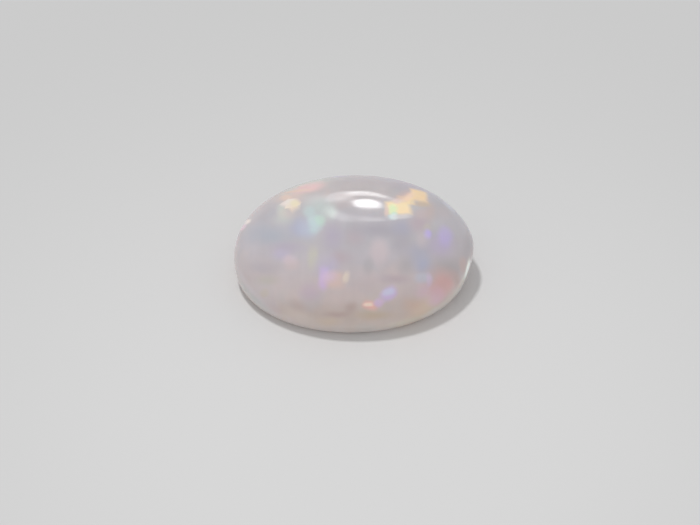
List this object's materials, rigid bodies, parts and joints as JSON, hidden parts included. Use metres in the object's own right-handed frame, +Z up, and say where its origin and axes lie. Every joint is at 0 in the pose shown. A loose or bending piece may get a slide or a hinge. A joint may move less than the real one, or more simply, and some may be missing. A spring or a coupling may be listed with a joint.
{
  "type": "oval opal cabochon",
  "caption": "Polished oval opal cabochon with a domed crown and a flat ground base, milky and translucent with pastel play of colour, for setting or display.",
  "frame": {"origin": "middle of the stone's overall outline, at the height of its flat base", "axes": "+X along the stone, towards the end with the slight swelling; +Y across it; +Z up from the base to the crown"},
  "size_m": [0.008, 0.006, 0.003],
  "materials": {
    "opal": "high polish, milky and translucent, with patches of pastel colour inside; fine satin grinding on the flat base"
  },
  "bodies": {
    "root": {"opal": "opal"}
  },
  "joints": []
}
